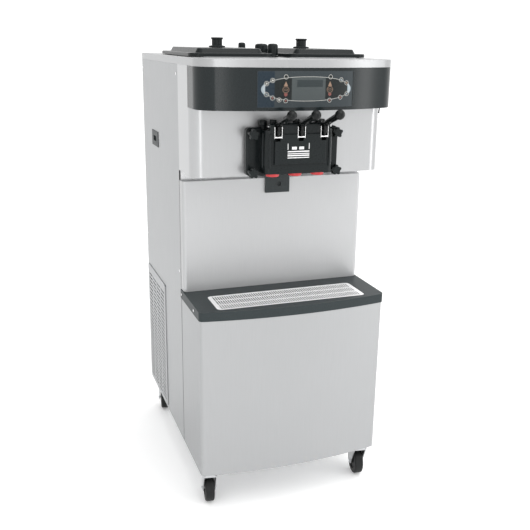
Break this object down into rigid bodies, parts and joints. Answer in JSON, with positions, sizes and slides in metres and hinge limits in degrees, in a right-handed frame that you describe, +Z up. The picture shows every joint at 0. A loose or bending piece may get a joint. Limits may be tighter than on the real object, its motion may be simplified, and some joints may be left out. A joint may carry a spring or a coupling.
{
  "type": "floor-standing soft-serve ice cream maker",
  "caption": "Floor-standing soft-serve freezer with hoppers, dispensing door with pull-down draw handles, bowed control head, drip shelf and swivel casters.",
  "frame": {"origin": "centre of the bounding box on the floor, between the casters", "axes": "+Z up, the dispensing side faces -Y, +X is to the right seen from the dispensing side"},
  "size_m": [0.655, 0.983, 1.5588],
  "materials": {
    "stainless": "vertical brushed grain, satin",
    "grid_steel": "bright pressed steel",
    "head_trim": "satin dark grey",
    "bezel_black": "satin black moulding",
    "overlay": null,
    "moulded_black": "fine moulded texture, satin",
    "shelf_black": "satin moulded",
    "cap_red": "moulded red",
    "seal_rubber": "matte",
    "blade_white": "white scraper plastic",
    "bright_steel": "polished",
    "screw_chrome": "bright",
    "frame_paint": "dark enamel",
    "zinc_plate": "zinc plated",
    "motor_cast": "painted casting",
    "finned_aluminium": "rolled fins",
    "fan_plastic": "moulded",
    "tyre_rubber": "matte rubber tread"
  },
  "bodies": {
    "cabinet": {"frame": "frame_paint", "base_pan": "zinc_plate", "left_side_panel": "stainless", "right_side_panel": "stainless", "rear_panel": "stainless", "front_panel": "stainless", "lower_side_panels": "stainless", "lower_front_panel": "stainless", "head_shroud": "stainless", "head_floor": "head_trim", "control_bezel": "bezel_black", "control_panel": "overlay", "top_panel": "stainless", "hopper_left": "stainless", "hopper_right": "stainless", "centre_caps": "moulded_black", "freezing_cylinders": "bright_steel", "gearmotors": "motor_cast", "compressor": "frame_paint", "condenser": "finned_aluminium", "fan_shroud": "zinc_plate", "fan_motor": "motor_cast", "electrical_box": "frame_paint", "dispensing_door": "moulded_black", "door_seals": "seal_rubber", "handscrews": "moulded_black", "pivot_pin": "bright_steel", "outlet_caps": "cap_red", "drip_shelf": "shelf_black", "panel_screws": "screw_chrome", "caster_mounts": "zinc_plate"},
    "handle_left": {"draw_handle_left": "moulded_black"},
    "valve_left": {"draw_valve_left": "moulded_black"},
    "handle_centre": {"draw_handle_centre": "moulded_black"},
    "valve_centre": {"draw_valve_centre": "moulded_black"},
    "handle_right": {"draw_handle_right": "moulded_black"},
    "valve_right": {"draw_valve_right": "moulded_black"},
    "prime_plug_left": {"prime_plug_left": "moulded_black"},
    "beater_left": {"beater_left": "bright_steel", "scraper_blades_left": "blade_white"},
    "hopper_cover_left": {"hopper_cover_left": "moulded_black", "cover_knob_left": "moulded_black"},
    "prime_plug_right": {"prime_plug_right": "moulded_black"},
    "beater_right": {"beater_right": "bright_steel", "scraper_blades_right": "blade_white"},
    "hopper_cover_right": {"hopper_cover_right": "moulded_black", "cover_knob_right": "moulded_black"},
    "condenser_fan": {"condenser_fan": "fan_plastic"},
    "side_drip_pan": {"side_drip_pan": "moulded_black"},
    "front_drip_pan": {"front_drip_pan": "moulded_black"},
    "splash_grid": {"splash_grid": "grid_steel"},
    "power_switch": {"power_switch": "moulded_black"},
    "caster_fork_front_left": {"caster_fork_front_left": "zinc_plate"},
    "caster_wheel_front_left": {"caster_wheel_front_left": "tyre_rubber"},
    "caster_fork_front_right": {"caster_fork_front_right": "zinc_plate"},
    "caster_wheel_front_right": {"caster_wheel_front_right": "tyre_rubber"},
    "caster_fork_rear_left": {"caster_fork_rear_left": "zinc_plate"},
    "caster_wheel_rear_left": {"caster_wheel_rear_left": "tyre_rubber"},
    "caster_fork_rear_right": {"caster_fork_rear_right": "zinc_plate"},
    "caster_wheel_rear_right": {"caster_wheel_rear_right": "tyre_rubber"}
  },
  "joints": [
    {"name": "handle_left_pull", "type": "hinge", "parent": "cabinet", "child": "handle_left", "pos_m": [-0.076, -0.35, 1.301], "axis": [1, 0, 0], "range_deg": [0, 30]},
    {"name": "valve_left_lift", "type": "slide", "parent": "cabinet", "child": "valve_left", "axis": [0, 0, 1], "range_m": [0, 0.01471]},
    {"name": "handle_centre_pull", "type": "hinge", "parent": "cabinet", "child": "handle_centre", "pos_m": [0, -0.35, 1.301], "axis": [1, 0, 0], "range_deg": [0, 30]},
    {"name": "valve_centre_lift", "type": "slide", "parent": "cabinet", "child": "valve_centre", "axis": [0, 0, 1], "range_m": [0, 0.01471]},
    {"name": "handle_right_pull", "type": "hinge", "parent": "cabinet", "child": "handle_right", "pos_m": [0.076, -0.35, 1.301], "axis": [1, 0, 0], "range_deg": [0, 30]},
    {"name": "valve_right_lift", "type": "slide", "parent": "cabinet", "child": "valve_right", "axis": [0, 0, 1], "range_m": [0, 0.01471]},
    {"name": "prime_plug_left_lift", "type": "slide", "parent": "cabinet", "child": "prime_plug_left", "axis": [0, 0, 1], "range_m": [0, 0.012]},
    {"name": "beater_left_spin", "type": "hinge", "parent": "cabinet", "child": "beater_left", "pos_m": [-0.076, 0, 1.225], "axis": [0, 1, 0], "continuous": true},
    {"name": "hopper_cover_left_lift", "type": "slide", "parent": "cabinet", "child": "hopper_cover_left", "axis": [0, 0, 1], "range_m": [0, 0.3]},
    {"name": "prime_plug_right_lift", "type": "slide", "parent": "cabinet", "child": "prime_plug_right", "axis": [0, 0, 1], "range_m": [0, 0.012]},
    {"name": "beater_right_spin", "type": "hinge", "parent": "cabinet", "child": "beater_right", "pos_m": [0.076, 0, 1.225], "axis": [0, 1, 0], "continuous": true},
    {"name": "hopper_cover_right_lift", "type": "slide", "parent": "cabinet", "child": "hopper_cover_right", "axis": [0, 0, 1], "range_m": [0, 0.3]},
    {"name": "condenser_fan_spin", "type": "hinge", "parent": "cabinet", "child": "condenser_fan", "pos_m": [-0.323, 0.3035, 0.4175], "axis": [1, 0, 0], "continuous": true},
    {"name": "side_drip_pan_slide", "type": "slide", "parent": "cabinet", "child": "side_drip_pan", "axis": [-1, 0, 0], "range_m": [0, 0.165]},
    {"name": "front_drip_pan_slide", "type": "slide", "parent": "cabinet", "child": "front_drip_pan", "axis": [0, -1, 0], "range_m": [0, 0.255]},
    {"name": "splash_grid_lift", "type": "slide", "parent": "cabinet", "child": "splash_grid", "axis": [0, 0, 1], "range_m": [0, 0.15]},
    {"name": "power_switch_throw", "type": "hinge", "parent": "cabinet", "child": "power_switch", "pos_m": [0.302, -0.295, 1.3495], "axis": [1, 0, 0], "range_deg": [-25, 0]},
    {"name": "caster_front_left_swivel", "type": "hinge", "parent": "cabinet", "child": "caster_fork_front_left", "pos_m": [-0.285, -0.318, 0], "axis": [0, 0, 1], "continuous": true},
    {"name": "caster_front_left_roll", "type": "hinge", "parent": "caster_fork_front_left", "child": "caster_wheel_front_left", "pos_m": [-0.28031, -0.28837, 0.048], "axis": [0.9877, -0.1564, 0], "continuous": true},
    {"name": "caster_front_right_swivel", "type": "hinge", "parent": "cabinet", "child": "caster_fork_front_right", "pos_m": [0.285, -0.318, 0], "axis": [0, 0, 1], "continuous": true},
    {"name": "caster_front_right_roll", "type": "hinge", "parent": "caster_fork_front_right", "child": "caster_wheel_front_right", "pos_m": [0.28969, -0.28837, 0.048], "axis": [0.9877, -0.1564, 0], "continuous": true},
    {"name": "caster_rear_left_swivel", "type": "hinge", "parent": "cabinet", "child": "caster_fork_rear_left", "pos_m": [-0.285, 0.411, 0], "axis": [0, 0, 1], "continuous": true},
    {"name": "caster_rear_left_roll", "type": "hinge", "parent": "caster_fork_rear_left", "child": "caster_wheel_rear_left", "pos_m": [-0.28031, 0.44063, 0.048], "axis": [0.9877, -0.1564, 0], "continuous": true},
    {"name": "caster_rear_right_swivel", "type": "hinge", "parent": "cabinet", "child": "caster_fork_rear_right", "pos_m": [0.285, 0.411, 0], "axis": [0, 0, 1], "continuous": true},
    {"name": "caster_rear_right_roll", "type": "hinge", "parent": "caster_fork_rear_right", "child": "caster_wheel_rear_right", "pos_m": [0.28969, 0.44063, 0.048], "axis": [0.9877, -0.1564, 0], "continuous": true}
  ],
  "couplings": [
    {"joint": "valve_left_lift", "follows": "handle_left_pull", "m_per_rad": 0.028},
    {"joint": "valve_centre_lift", "follows": "handle_centre_pull", "m_per_rad": 0.028},
    {"joint": "valve_right_lift", "follows": "handle_right_pull", "m_per_rad": 0.028}
  ]
}
